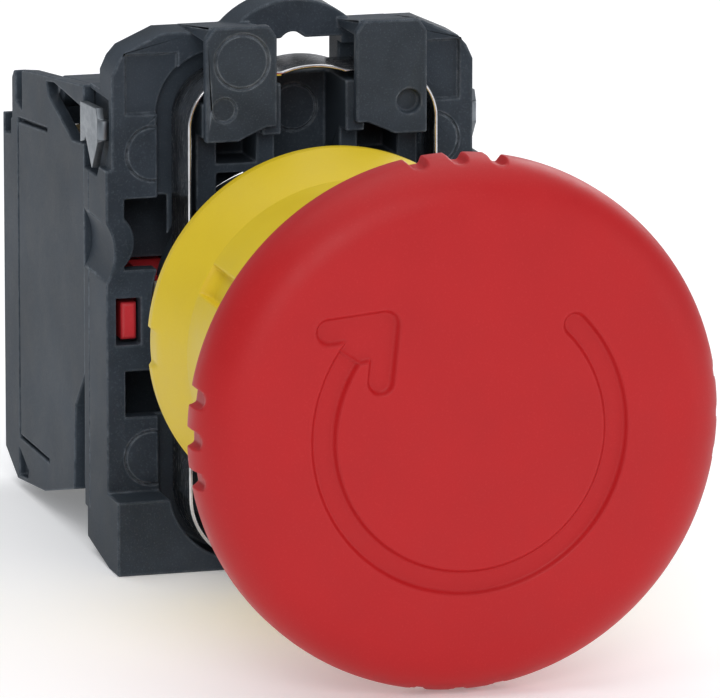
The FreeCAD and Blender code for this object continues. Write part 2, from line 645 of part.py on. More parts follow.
def contact_block_housing():
    """Open-sided tray of the right-hand block, with its terminal shroud at the rear."""
    split = BLOCK_OUT_X - COVER_THICK
    body = prism_x(block_outline(), BLOCK_IN_X, split)
    shroud = prism_x([
        (BLOCK_REAR_Y - 0.1, SHROUD_TOP_Z), (SHROUD_Y, SHROUD_TOP_Z), (SHROUD_Y, -17.6),
        (BLOCK_REAR_Y - 0.1, -18.9),
    ], BLOCK_IN_X, split)
    body = merged(body, shroud)
    body = body.cut(prism_x(block_outline(), BLOCK_IN_X + BLOCK_WALL, BLOCK_OUT_X, BLOCK_WALL))
    # plunger window in front
    half_x = PLUNGER_X / 2 + LOOSE
    half_z = PLUNGER_Z / 2 + LOOSE
    wall = (BLOCK_FRONT_Y - 1, BLOCK_FRONT_Y + 2)
    body = body.cut(box(BLOCK_MID_X - half_x, BLOCK_MID_X + half_x, wall[0], wall[1], -half_z, half_z))
    body = body.cut(box(BLOCK_MID_X, split + 1, wall[0], wall[1], FLAG_Z[0] - LOOSE, FLAG_Z[1] + LOOSE))
    for z in TERMINAL_Z:
        body = body.cut(rod(2.9, BLOCK_REAR_Y - 3, SHROUD_Y + 1, BLOCK_MID_X, z))
    # wire entries at the top and at the bottom
    body = body.cut(box(8.0, 12.0, 35.6, 38.4, 12, 18))
    body = body.cut(box(8.0, 12.0, 35.6, 38.4, -21, -17.5))
    # post that takes the end of the plunger's spring
    post = rod(0.85, 36.6, BLOCK_REAR_Y - BLOCK_WALL + 0.1, BLOCK_MID_X, 0)
    return body.fuse(post).removeSplitter()


def contact_block_cover():
    """Side cover with a label field, a slanted groove, and pockets at its rear corners."""
    split = BLOCK_OUT_X - COVER_THICK + 0.02
    outline = [
        (16.6, BLOCK_TOP_Z), (34.5, 14.8), (39.3, 14.0), (39.9, 13.4), (39.9, SHROUD_TOP_Z),
        (SHROUD_Y, SHROUD_TOP_Z), (SHROUD_Y, -17.6), (38.9, -19.4), (30.0, -18.5), (20.3, -16.2),
        (19.7, -9.3), (16.6, -6.2),
    ]
    cover = prism_x(outline, split, BLOCK_OUT_X)
    deep = BLOCK_OUT_X - 0.7
    shallow = BLOCK_OUT_X - 0.5
    slant = [(28.6, 15.0), (26.5, 15.3), (16.4, 14.9), (16.4, 12.2), (20.3, 11.8), (28.0, 14.0)]
    cover = cover.cut(prism_x(slant, split - 1, 16))
    slot = [(36.6, 15), (38.7, 15), (38.7, 11.6), (36.6, 11.2)]
    cover = cover.cut(prism_x(slot, deep, 16))
    opening = [(40.3, 10.5), (42.7, 10.5), (42.7, 8.3), (40.3, 8.7)]
    cover = cover.cut(prism_x(opening, BLOCK_OUT_X - 2, 16))
    corner = [(38.3, -16.6), (38.3, -19.0), (35.4, -18.7), (35.2, -17.9)]
    cover = cover.cut(prism_x(corner, deep, 16))
    # label field framed by a fine groove
    field = [(28.2, 11.3), (38.1, 10.4), (38.1, -15.8), (28.2, -15.8)]
    inner = [(28.2, 11.0), (37.7, 10.1), (37.7, -15.5), (28.2, -15.5)]
    groove = prism_x(field, shallow, 16).cut(prism_x(inner, shallow - 1, 17))
    return cover.cut(groove).removeSplitter()


def plunger(bridge_y):
    """Sliding plunger of the right-hand block: nose, flag seen from in front, slot for its bridge."""
    x0 = BLOCK_MID_X - PLUNGER_X / 2
    x1 = BLOCK_MID_X + PLUNGER_X / 2
    half_z = PLUNGER_Z / 2
    stem = box(x0, x1, PLUNGER_STEP_Y, PLUNGER_REAR_Y, -half_z, half_z)
    nose = box(x0, x1 - 0.8, PLUNGER_FRONT_Y, PLUNGER_STEP_Y, -half_z + 0.4, half_z - 0.4)
    flag = box(FLAG_X[0], FLAG_X[1], 10.2, 13.4, FLAG_Z[0], FLAG_Z[1])
    rim = [e for e in flag.Edges if abs(e.CenterOfMass.y - 10.2) < 0.01]
    flag = flag.makeFillet(0.3, rim)
    arm = box(x1 - 0.1, FLAG_X[1], PLUNGER_STEP_Y, 13.4, FLAG_Z[0], FLAG_Z[1])
    body = merged(stem, nose, flag, arm)
    body = body.cut(rod(0.95, PLUNGER_REAR_Y - 4, PLUNGER_REAR_Y + 1, BLOCK_MID_X, 0))
    slot = BRIDGE_X / 2 + 0.05
    return body.cut(box(BLOCK_MID_X - slot, BLOCK_MID_X + slot, bridge_y - 0.03, bridge_y + 0.53, -4, 4))


def bridge(bridge_y, tip_side):
    """Moving contact: a strip through the plunger with two silver tips."""
    half = BRIDGE_X / 2
    strip = box(BLOCK_MID_X - half, BLOCK_MID_X + half, bridge_y, bridge_y + 0.5, -TIP_Z - 1.6, TIP_Z + 1.6)
    tip_y = bridge_y - 0.7 if tip_side < 0 else bridge_y + 0.5
    tips = [rod(1.1, tip_y, tip_y + 0.7, BLOCK_MID_X, side * TIP_Z) for side in (1, -1)]
    return merged(strip, *tips)


def terminals(tip_y, strip_y):
    """Two fixed contacts, each bent back to its screw plate."""
    made = []
    for side, screw_z in zip((1, -1), TERMINAL_Z):
        outer = side * 9.8
        low = min(side * (TIP_Z - 1.4), outer)
        high = max(side * (TIP_Z - 1.4), outer)
        strip = box(8.2, 11.8, strip_y, strip_y + 0.5, low, high)
        run_low = min(outer, outer - side * 0.5)
        run = box(8.2, 11.8, strip_y, 36.9, run_low, run_low + 0.5)
        far = screw_z - 3.3 if side < 0 else screw_z - 3.2
        near = outer
        seat = box(7.2, 12.8, 36.4, 36.9, min(far, near), max(far, near))
        tip = rod(1.1, tip_y, tip_y + 0.7, BLOCK_MID_X, side * TIP_Z)
        whole = merged(strip, run, seat, tip)
        made.append(whole.cut(rod(1.65, 36, 38, BLOCK_MID_X, screw_z)))
    return Part.makeCompound(made)


def terminal_screws():
    made = []
    for z in TERMINAL_Z:
        screw = merged(rod(1.6, 33.2, 37.8, BLOCK_MID_X, z), rod(2.6, 37.7, 39.6, BLOCK_MID_X, z))
        screw = screw.cut(box(BLOCK_MID_X - 3, BLOCK_MID_X + 3, 38.8, 40, z - 0.35, z + 0.35))
        screw = screw.cut(box(BLOCK_MID_X - 0.35, BLOCK_MID_X + 0.35, 38.8, 40, z - 1.7, z + 1.7))
        made.append(screw)
    return Part.makeCompound(made)


def clamp_plates():
    """Square saddles under the terminal screws' heads."""
    made = []
    for z in TERMINAL_Z:
        plate = box(7.3, 12.7, 37.0, 37.7, z - 2.7, z + 2.7)
        made.append(plate.cut(rod(1.65, 36, 39, BLOCK_MID_X, z)))
    return Part.makeCompound(made)


def plunger_spring():
    return coil(1.3, 0.25, PLUNGER_REAR_Y + 0.02, BLOCK_REAR_Y - BLOCK_WALL - 0.02, 7, BLOCK_MID_X, 0)


def save_block(prefix, on_left, bridge_y, tip_side, tip_y, strip_y):
    """Write one contact block, mirrored for the left-hand side."""
    pieces = {
        "housing": contact_block_housing(),
        "cover": contact_block_cover(),
        "plunger": plunger(bridge_y),
        "plunger_spring": plunger_spring(),
        "bridge": bridge(bridge_y, tip_side),
        "terminals": terminals(tip_y, strip_y),
        "terminal_screws": terminal_screws(),
        "clamp_plates": clamp_plates(),
    }
    for name, shape in pieces.items():
        save(prefix + "_" + name, mirrored(shape) if on_left else shape)


def main():
    os.makedirs("parts", exist_ok=True)
    save("mushroom_cap", mushroom_cap())
    save("twist_hub", twist_hub())
    save("twist_spring", twist_spring())
    save("spindle", spindle())
    save("retaining_ring", retaining_ring())
    save("latch_carrier", latch_carrier())
    save("latch_pawls", latch_pawls())
    save("drive_plate", drive_plate())
    save("trip_spring", trip_spring())
    save("bezel_ring", bezel_ring())
    save("lip_seal", lip_seal())
    save("panel_gasket", panel_gasket())
    save("operator_body", operator_body())
    save("fixing_collar", fixing_collar())
    save("locking_bail", locking_bail())
    save("side_clip_left", side_clip(-1))
    save("side_clip_right", side_clip(1))
    save("clamp_pad", clamp_pad())
    save("clamp_screw", clamp_screw())
    # normally closed on the left: the bridge sits behind its fixed contacts and touches them
    save_block("nc", True, bridge_y=26.6, tip_side=-1, tip_y=25.15, strip_y=24.65)
    # normally open on the right: the bridge sits in front and closes when pushed
    save_block("no", False, bridge_y=21.3, tip_side=1, tip_y=28.1, strip_y=28.8)


main()
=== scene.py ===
"""Looks of the panel-mount emergency stop button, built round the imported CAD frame.

Part frame: +X right and +Z up as seen by the operator, +Y from the front to the rear.
The object's sizes below are in millimetres and are multiplied by MM where a mesh is made.
The camera and the lights are placed in metres.
"""

import json
import math

import bmesh
import bpy
import numpy as np
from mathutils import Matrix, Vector


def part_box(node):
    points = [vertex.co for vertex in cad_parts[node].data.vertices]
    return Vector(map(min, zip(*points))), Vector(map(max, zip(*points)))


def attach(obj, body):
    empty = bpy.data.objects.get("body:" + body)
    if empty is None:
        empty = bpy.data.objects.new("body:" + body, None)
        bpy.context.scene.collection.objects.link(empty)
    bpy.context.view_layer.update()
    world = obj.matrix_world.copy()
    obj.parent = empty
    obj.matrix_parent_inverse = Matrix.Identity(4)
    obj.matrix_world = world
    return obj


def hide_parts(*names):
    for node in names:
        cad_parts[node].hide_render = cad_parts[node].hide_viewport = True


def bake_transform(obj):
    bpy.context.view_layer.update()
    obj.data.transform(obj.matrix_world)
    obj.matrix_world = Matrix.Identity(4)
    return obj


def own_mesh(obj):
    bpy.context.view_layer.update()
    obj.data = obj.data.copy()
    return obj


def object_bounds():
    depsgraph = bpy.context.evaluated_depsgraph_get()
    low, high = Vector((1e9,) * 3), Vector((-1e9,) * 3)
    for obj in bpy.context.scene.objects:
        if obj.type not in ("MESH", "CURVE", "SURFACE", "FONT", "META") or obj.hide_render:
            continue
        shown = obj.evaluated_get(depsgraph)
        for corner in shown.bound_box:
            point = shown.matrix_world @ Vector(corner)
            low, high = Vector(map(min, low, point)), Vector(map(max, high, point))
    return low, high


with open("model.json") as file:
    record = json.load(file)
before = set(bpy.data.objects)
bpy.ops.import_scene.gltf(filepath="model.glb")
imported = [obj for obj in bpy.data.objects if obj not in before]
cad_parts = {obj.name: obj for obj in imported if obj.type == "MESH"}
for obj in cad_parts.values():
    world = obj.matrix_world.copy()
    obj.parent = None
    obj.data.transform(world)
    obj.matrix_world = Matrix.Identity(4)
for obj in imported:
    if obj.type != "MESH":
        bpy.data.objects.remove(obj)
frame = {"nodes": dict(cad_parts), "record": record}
cad_low, cad_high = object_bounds()

MM = 0.001
PER_METRE = 1000.0
SCENE = bpy.context.scene
NODES = frame["nodes"]
BODY_OF = {n: body for body, members in frame["record"]["behaviour"]["bodies"].items() for n in members}
SLOT_OF = {n: o.material_slots[0].material.name for n, o in NODES.items()}


def link(piece):
    """Put a new object into the scene."""
    SCENE.collection.objects.link(piece)
    return piece


# ---------------------------------------------------------------- camera, floor and light

CAMERA_AZIMUTH = -15.8
CAMERA_ELEVATION = 12.0
CAMERA_DISTANCE = 0.7
CAMERA_TARGET = Vector((0.0, -0.0015, 0.0))
CAMERA_LENS = 457.1
CAMERA_SHIFT = (0.0389, -0.0228)
SENSOR_WIDTH = 36.0
FLOOR_R = 6.0
FLOOR_DROP = 0.02       # mm between the lowest point of the object and the floor
WORLD_COLOUR = (0.93, 0.95, 1.0, 1.0)
WORLD_STRENGTH = 0.34
# name: place, width, height, power. Each one is aimed at the origin.
LAMPS = {
    "key": ((-0.25, -1.05, 0.6), 0.6, 0.6, 4.8),
    "fill": ((0.95, -0.75, 0.25), 0.9, 0.7, 2.0),
    "top": ((0.0, 0.1, 1.2), 1.6, 1.6, 9.0),
    "right_rear": ((0.7, 0.9, 0.5), 0.6, 0.6, 4.0),
}


def make_camera():
    azimuth = math.radians(CAMERA_AZIMUTH)
    elevation = math.radians(CAMERA_ELEVATION)
    back = Vector((
        math.sin(azimuth) * math.cos(elevation),
        -math.cos(azimuth) * math.cos(elevation),
        math.sin(elevation),
    ))
    data = bpy.data.cameras.new("camera")
    data.lens = CAMERA_LENS
    data.sensor_width = SENSOR_WIDTH
    data.shift_x, data.shift_y = CAMERA_SHIFT
    data.clip_start = 0.01
    data.clip_end = 20.0
    camera = link(bpy.data.objects.new("camera", data))
    camera.location = CAMERA_TARGET + back * CAMERA_DISTANCE
    camera.rotation_euler = (-back).to_track_quat("-Z", "Y").to_euler()
    SCENE.camera = camera


def area_light(name, place, width, height, power):
    data = bpy.data.lights.new(name, "AREA")
    data.shape = "RECTANGLE"
    data.size = width
    data.size_y = height
    data.energy = power
    lamp = link(bpy.data.objects.new(name, data))
    lamp.location = place
    lamp.rotation_euler = (-Vector(place)).to_track_quat("-Z", "Y").to_euler()


def make_stage():
    floor_mesh = bpy.data.meshes.new("floor")
    bm = bmesh.new()
    bmesh.ops.create_circle(bm, cap_ends=True, radius=FLOOR_R, segments=96)
    bm.to_mesh(floor_mesh)
    bm.free()
    floor = link(bpy.data.objects.new("floor", floor_mesh))
    floor.location.z = cad_low.z - FLOOR_DROP * MM
    floor.data.materials.append(floor_material())

    world = bpy.data.worlds.new("studio")
    world.use_nodes = True
    sky = world.node_tree.nodes["Background"]
    sky.inputs["Color"].default_value = WORLD_COLOUR
    sky.inputs["Strength"].default_value = WORLD_STRENGTH
    SCENE.world = world
    SCENE.view_settings.view_transform = "Standard"

    for name, lamp in LAMPS.items():
        area_light(name, *lamp)


# ---------------------------------------------------------------- material kit


class Graph:
    """A material's node tree, with short calls for the nodes that the materials use."""

    def __init__(self, name):
        self.material = bpy.data.materials.new(name)
        self.material.use_nodes = True
        self.tree = self.material.node_tree
        self.shader = self.tree.nodes["Principled BSDF"]

    def add(self, kind, inputs=(), **settings):
        node = self.tree.nodes.new("ShaderNode" + kind)
        for key, value in settings.items():
            setattr(node, key, value)
        for key, value in dict(inputs).items():
            self.feed(node.inputs[key], value)
        return node

    def feed(self, socket, value):
        if isinstance(value, bpy.types.NodeSocket):
            self.tree.links.new(value, socket)
        else:
            socket.default_value = value

    def set(self, **values):
        for key, value in values.items():
            self.feed(self.shader.inputs[key.replace("_", " ")], value)

    def place(self, stretch=(1.0, 1.0, 1.0)):
        """Object coordinates in millimetres, stretched along the axes."""
        coords = self.add("TexCoord").outputs["Object"]
        scale = tuple(PER_METRE * s for s in stretch)
        return self.add("Mapping", {"Vector": coords, "Scale": scale}).outputs["Vector"]

    def noise(self, place, scale, detail=3.0, rough=0.5):
        inputs = {"Vector": place, "Scale": scale, "Detail": detail, "Roughness": rough}
        return self.add("TexNoise", inputs).outputs["Fac"]

    def remap(self, value, low, high, to_low=0.0, to_high=1.0):
        inputs = {"Value": value, "From Min": low, "From Max": high, "To Min": to_low, "To Max": to_high}
        return self.add("MapRange", inputs, clamp=True).outputs["Result"]

    def math(self, operation, a, b):
        return self.add("Math", {0: a, 1: b}, operation=operation).outputs[0]

    def mix(self, share, a, b):
        node = self.add("Mix", data_type="RGBA")
        self.feed(node.inputs[0], share)
        self.feed(node.inputs[6], a)
        self.feed(node.inputs[7], b)
        return node.outputs[2]

    def edges(self, radius, low=0.002, high=0.06):
        """1 on the corners of the shape and 0 on its faces, from a normal rounded over radius mm."""
        rounded = self.add("Bevel", {"Radius": radius * MM}, samples=6).outputs["Normal"]
        own = self.add("NewGeometry").outputs["Normal"]
        same = self.add("VectorMath", {0: rounded, 1: own}, operation="DOT_PRODUCT").outputs["Value"]
        return self.remap(self.math("SUBTRACT", 1.0, same), low, high)

    def bump(self, height, distance, strength=1.0, under=None):
        inputs = {"Height": height, "Distance": distance * MM, "Strength": strength}
        if under is not None:
            inputs["Normal"] = under
        return self.add("Bump", inputs).outputs["Normal"]


def tone(r, g, b):
    """A linear colour from display values of 0 to 255."""
    linear = []
    for value in (r, g, b):
        share = value / 255.0
        linear.append(share / 12.92 if share <= 0.04045 else ((share + 0.055) / 1.055) ** 2.4)
    return (*linear, 1.0)


def plastic(name, colour, dark, light, rough, grain, worn, mottle=0.35, edge=0.25, gleam=0.5):
    """Moulded plastic: cloudy colour, fine eroded-mould grain, uneven gloss and paler worn corners."""
    g = Graph(name)
    place = g.place()
    clouds = g.noise(place, 0.16, 4.0, 0.6)
    specks = g.noise(place, 7.0, 2.0, 0.6)
    body = g.mix(g.remap(clouds, 0.5 - mottle, 0.5 + mottle), dark, colour)
    body = g.mix(g.remap(specks, 0.55, 0.75, 0.0, 0.12), body, light)
    patchy = g.noise(place, 1.3, 3.0, 0.7)
    wear = g.math("MULTIPLY", g.edges(edge), g.remap(patchy, 0.36, 0.66, 0.15, 1.0))
    body = g.mix(g.math("MULTIPLY", wear, worn), body, light)
    smudges = g.noise(place, 0.32, 4.0, 0.65)
    gloss = g.remap(smudges, 0.3, 0.7, rough - 0.05, rough + 0.06)
    grain_height = g.noise(place, 9.0, 3.0, 0.65)
    fine = g.bump(grain_height, grain)
    wave = g.bump(g.noise(place, 0.22, 2.0, 0.5), 0.02, 0.6, fine)
    g.set(Base_Color=body, Roughness=gloss, Normal=wave)
    g.shader.inputs["Specular IOR Level"].default_value = gleam
    g.shader.inputs["IOR"].default_value = 1.5
    return g.material


def metal(name, bright, dull, rough, stretch, scratch=0.004):
    """Rolled or plated metal: brushed lines along one axis, stains, and bright rubbed corners."""
    g = Graph(name)
    lines = g.noise(g.place(stretch), 2.0, 5.0, 0.75)
    place = g.place()
    stains = g.noise(place, 0.45, 4.0, 0.6)
    body = g.mix(g.remap(stains, 0.3, 0.7), dull, bright)
    body = g.mix(g.remap(lines, 0.42, 0.7, 0.0, 0.35), body, dull)
    body = g.mix(g.math("MULTIPLY", g.edges(0.12), 0.6), body, bright)
    gloss = g.remap(lines, 0.3, 0.7, rough - 0.07, rough + 0.12)
    scratches = g.bump(lines, scratch)
    pits = g.bump(g.noise(place, 5.0, 3.0, 0.6), 0.004, 0.6, scratches)
    g.set(Base_Color=body, Roughness=gloss, Normal=pits)
    g.shader.inputs["Metallic"].default_value = 1.0
    return g.material


def rubber(name):
    """Matt seal rubber with a dusty bloom."""
    g = Graph(name)
    place = g.place()
    bloom = g.noise(place, 0.6, 5.0, 0.7)
    body = g.mix(g.remap(bloom, 0.35, 0.75), tone(30, 30, 32), tone(62, 62, 62))
    body = g.mix(g.math("MULTIPLY", g.edges(0.2), 0.35), body, tone(92, 92, 90))
    pores = g.noise(place, 6.0, 3.0, 0.6)
    gloss = g.remap(bloom, 0.3, 0.7, 0.7, 0.9)
    g.set(Base_Color=body, Roughness=gloss, Normal=g.bump(pores, 0.012))
    return g.material


def floor_material():
    """Matt off-white that glows a little, so that it stays pale under the object's shade."""
    g = Graph("pale_floor")
    place = g.place()
    body = g.mix(g.noise(place, 0.004, 2.0, 0.5), (0.93, 0.935, 0.94, 1.0), (0.96, 0.96, 0.965, 1.0))
    g.set(Base_Color=body, Roughness=0.85)
    g.shader.inputs["Specular IOR Level"].default_value = 0.1
    g.shader.inputs["Emission Color"].default_value = (1.0, 1.0, 1.0, 1.0)
    g.shader.inputs["Emission Strength"].default_value = 0.2
    return g.material


def make_looks():
    """One material for each slot of the record, and one for the side clips, which are duller."""
    clip = metal("satin_clip", (0.25, 0.27, 0.29, 1.0), (0.17, 0.19, 0.21, 1.0), 0.4, (1.0, 1.0, 1.0),
                 scratch=0.002)
    return {
        "side_clip_left": clip,
        "side_clip_right": clip,
        "red_plastic": plastic("satin_red", tone(184, 24, 28), tone(174, 21, 25), tone(216, 74, 76),
                               0.48, 0.004, 0.3, gleam=0.3),
        "yellow_plastic": plastic("satin_yellow", tone(225, 196, 24), tone(213, 184, 22),
                                  tone(236, 220, 110), 0.46, 0.005, 0.3),
        "black_plastic": plastic("grained_black", tone(62, 70, 79), tone(47, 54, 61), tone(136, 144, 152),
                                 0.5, 0.022, 0.8, mottle=0.2, gleam=0.08),
        "white_plastic": plastic("natural_acetal", tone(224, 220, 206), tone(212, 208, 192),
                                 tone(240, 238, 230), 0.45, 0.006, 0.3),
        "signal_red_plastic": plastic("flag_red", tone(226, 52, 60), tone(208, 44, 52), tone(238, 104, 108),
                                      0.4, 0.004, 0.4),
        "signal_green_plastic": plastic("flag_green", tone(36, 130, 72), tone(30, 116, 62),
                                        tone(96, 176, 120), 0.4, 0.004, 0.4),
        "seal_rubber": rubber("seal_rubber"),
        "stainless_strip": metal("brushed_stainless", (0.74, 0.74, 0.74, 1.0), (0.40, 0.40, 0.41, 1.0),
                                 0.2, (0.25, 3.0, 0.25)),
        "spring_steel": metal("spring_wire", (0.62, 0.60, 0.57, 1.0), (0.34, 0.32, 0.31, 1.0),
                              0.32, (1.0, 1.0, 1.0)),
        "zinc_steel": metal("zinc_plate", (0.27, 0.29, 0.31, 1.0), (0.19, 0.21, 0.23, 1.0),
                            0.36, (1.0, 1.5, 1.0), scratch=0.002),
        "contact_brass": metal("contact_brass", (0.80, 0.62, 0.30, 1.0), (0.50, 0.36, 0.17, 1.0),
                               0.3, (1.0, 1.0, 0.3)),
    }


# ---------------------------------------------------------------- mesh kit


def dress(piece, node, looks):
    """Give a new piece its node's finish, and hide the node that it stands for."""
    slot = SLOT_OF[node]
    piece.data.materials.clear()
    piece.data.materials.append(looks.get(node, looks[slot]))
    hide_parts(node)
    return piece


def finish_piece(piece, node, looks):
    """Dress a new piece and let it ride with its node's body."""
    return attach(dress(piece, node, looks), BODY_OF[node])


CORNER_ANGLE = math.radians(25)
FLAT_ANGLE = math.radians(0.5)      # triangles of one flat face differ by less than this
WELD = 0.001            # mm between points that are one point
ROUND_SEGMENTS = 2
NARROW_SHARE = 0.4      # a rounding takes at most this share of the face beside it


def smooth_patches(bm):
    """Groups of faces that meet without a corner, and each group's mean width in metres."""
    patch_of, widths = {}, []
    for seed in bm.faces:
        if seed in patch_of:
            continue
        patch_of[seed] = len(widths)
        waiting, area, rim = [seed], 0.0, 0.0
        while waiting:
            face = waiting.pop()
            area += face.calc_area()
            for edge in face.edges:
                if edge.calc_face_angle(math.pi) > CORNER_ANGLE:
                    rim += edge.calc_length()
                    continue
                for other in edge.link_faces:
                    if other not in patch_of:
                        patch_of[other] = len(widths)
                        waiting.append(other)
        widths.append(2 * area / rim if rim else 1.0)
    return patch_of, widths


def weigh_corners(bm, width):
    """Bevel weights: the whole width on broad faces and less on the lips of narrow grooves."""
    layer = bm.edges.layers.float.new("bevel_weight_edge")
    patch_of, widths = smooth_patches(bm)
    for edge in bm.edges:
        if edge.calc_face_angle(math.pi) > CORNER_ANGLE:
            room = min((widths[patch_of[face]] for face in edge.link_faces), default=0.0)
            edge[layer] = min(1.0, NARROW_SHARE * room / (width * MM))


def soften(piece, width):
    """Round the weighed corners by up to width mm, and shade the flats flat."""
    bevel = piece.modifiers.new("corners", "BEVEL")
    bevel.width = width * MM
    bevel.segments = ROUND_SEGMENTS
    bevel.limit_method = "WEIGHT"
    bevel.use_clamp_overlap = False
    flats = piece.modifiers.new("flats", "WEIGHTED_NORMAL")
    flats.mode = "FACE_AREA"
    flats.keep_sharp = False


def refined(node, looks, width):
    """A copy of a CAD node with its flat faces made whole and its corners rounded."""
    mesh = NODES[node].data.copy()
    for layer in ("custom_normal", "sharp_edge", "sharp_face"):
        if layer in mesh.attributes:
            mesh.attributes.remove(mesh.attributes[layer])
    bm = bmesh.new()
    bm.from_mesh(mesh)
    bmesh.ops.remove_doubles(bm, verts=bm.verts, dist=WELD * MM)
    bmesh.ops.dissolve_limit(bm, angle_limit=FLAT_ANGLE, verts=bm.verts, edges=bm.edges)
    bmesh.ops.recalc_face_normals(bm, faces=bm.faces)
    weigh_corners(bm, width)
    bmesh.ops.connect_verts_concave(bm, faces=bm.faces)
    bm.to_mesh(mesh)
    bm.free()
    mesh.shade_smooth()
    piece = link(bpy.data.objects.new(node + "_body", mesh))
    soften(piece, width)
    return finish_piece(piece, node, looks)


ARC_STEPS = 5


def rounded_outline(corners):
    """Points of a closed (radius, y) outline whose corners (radius, y, round) are arcs."""
    points = []
    count = len(corners)
    for i, (r, y, radius) in enumerate(corners):
        here = Vector((r, y))
        if radius <= 0:
            points.append(here)
            continue
        before = Vector(corners[i - 1][:2]) - here
        after = Vector(corners[(i + 1) % count][:2]) - here
        half = before.angle(after) / 2
        reach = radius / math.tan(half)
        start = here + before.normalized() * reach
        end = here + after.normalized() * reach
        centre = here + (before.normalized() + after.normalized()).normalized() * (radius / math.sin(half))
        a, b = start - centre, end - centre
        sweep = a.angle_signed(b)
        for step in range(ARC_STEPS + 1):
            turn = -sweep * step / ARC_STEPS
            c, s = math.cos(turn), math.sin(turn)
            points.append(centre + Vector((c * a.x - s * a.y, s * a.x + c * a.y)))
    return np.array([tuple(p) for p in points])


def divided(points, longest):
    """The same closed outline with no straight run longer than longest mm."""
    made = []
    for a, b in zip(points, np.roll(points, -1, axis=0)):
        pieces = max(1, math.ceil(float(np.linalg.norm(b - a)) / longest))
        made += [a + (b - a) * k / pieces for k in range(pieces)]
    return np.array(made)


def lathe_grid(outline, angles):
    """Radius, y and angle of every point of an outline turned about the push axis."""
    r = np.repeat(outline[:, 0][:, None], len(angles), axis=1)
    y = np.repeat(outline[:, 1][:, None], len(angles), axis=1)
    a = np.repeat(np.array(angles)[None, :], len(outline), axis=0)
    return r, y, a


def grid_mesh(name, r, y, a, closed):
    """A mesh from a turned grid. The rows join into a loop if closed, else the first row is a pole."""
    x, z = r * np.cos(a), r * np.sin(a)
    rows, columns = r.shape
    points = np.stack([x, y, z], axis=-1).reshape(-1, 3) * MM
    faces = []
    for i in range(rows if closed else rows - 1):
        j = (i + 1) % rows
        for k in range(columns):
            n = (k + 1) % columns
            faces.append((i * columns + k, j * columns + k, j * columns + n, i * columns + n))
    mesh = bpy.data.meshes.new(name)
    mesh.from_pydata([tuple(p) for p in points], [], faces)
    bm = bmesh.new()
    bm.from_mesh(mesh)
    bmesh.ops.remove_doubles(bm, verts=bm.verts, dist=WELD / 2 * MM)
    bmesh.ops.recalc_face_normals(bm, faces=bm.faces)
    bm.to_mesh(mesh)
    bm.free()
    mesh.shade_smooth()
    return link(bpy.data.objects.new(name, mesh))


def ease(value, low, high):
    """0 below low, 1 above high and a smooth step between."""
    t = np.clip((value - low) / (high - low), 0.0, 1.0)
    return t * t * (3 - 2 * t)


CLOSEST_ANGLE = 0.06    # degrees


def angle_list(step, centres, half_width, fine):
    """Angles all round in degrees, with more of them beside the edges at centre +- half_width."""
    made = list(np.arange(0.0, 360.0, step))
    for centre in centres:
        for edge in (-half_width, half_width):
            made += [(centre + edge + fine * k) % 360.0 for k in (-1.5, -0.5, 0.5, 1.5)]
    made = sorted(set(np.round(made, 4)))
    kept = [made[0]]
    for angle in made[1:]:
        if angle - kept[-1] > CLOSEST_ANGLE:
            kept.append(angle)
    return np.radians(kept)


# ---------------------------------------------------------------- mushroom cap

HEAD_R = 20.0
HEAD_TOP_Y = -39.0
RIM_CORNER_R = 3.8
RIM_CENTRE = (HEAD_R - RIM_CORNER_R, -34.4)
RIM_EDGE_Y = -33.2
SKIRT_R = 10.6
SKIRT_BORE_R = 9.4
SKIRT_FRONT_Y = -26.0
SKIRT_REAR_Y = -14.0
CAP_BOSS_R = 5.8
CAP_BOSS_BORE_R = 4.2
CAP_BOSS_REAR_Y = -29.05
CAP_BOSS_CHAMFER = 0.15
DOME_SLOPE = math.radians(5)
ARROW_R = 12.0
ARROW_BAND = 1.85
ARROW_DEPTH = 0.45
ARROW_TAIL, ARROW_TIP, ARROW_NECK = 44.0, 126.7, 146.0
ARROW_LEG = 4.25
ARROW_LEG_R = 1.0
GRIP_NOTCH_W = 1.3
GRIP_NOTCH_DEPTH = 0.65
GRIP_NOTCH_Y = -35.95
GRIP_NOTCH_ANGLES = [90 * quarter + 8.8 * step for quarter in range(4) for step in (-1, 0, 1)]


def capsule(x, z, start, end, radius):
    """Signed distance to a round-ended bar."""
    run = np.array(end) - np.array(start)
    share = ((x - start[0]) * run[0] + (z - start[1]) * run[1]) / (run @ run)
    share = np.clip(share, 0.0, 1.0)
    return np.hypot(x - start[0] - share * run[0], z - start[1] - share * run[1]) - radius


def wedge(x, z, corners):
    """Signed distance, near its edges, to a convex outline."""
    centre = np.mean(corners, axis=0)
    inside = np.full(x.shape, -1e9)
    for a, b in zip(corners, corners[1:] + corners[:1]):
        normal = np.array([b[1] - a[1], a[0] - b[0]])
        normal = normal / np.linalg.norm(normal)
        if normal @ (centre - np.array(a)) > 0:
            normal = -normal
        inside = np.maximum(inside, (x - a[0]) * normal[0] + (z - a[1]) * normal[1])
    return inside


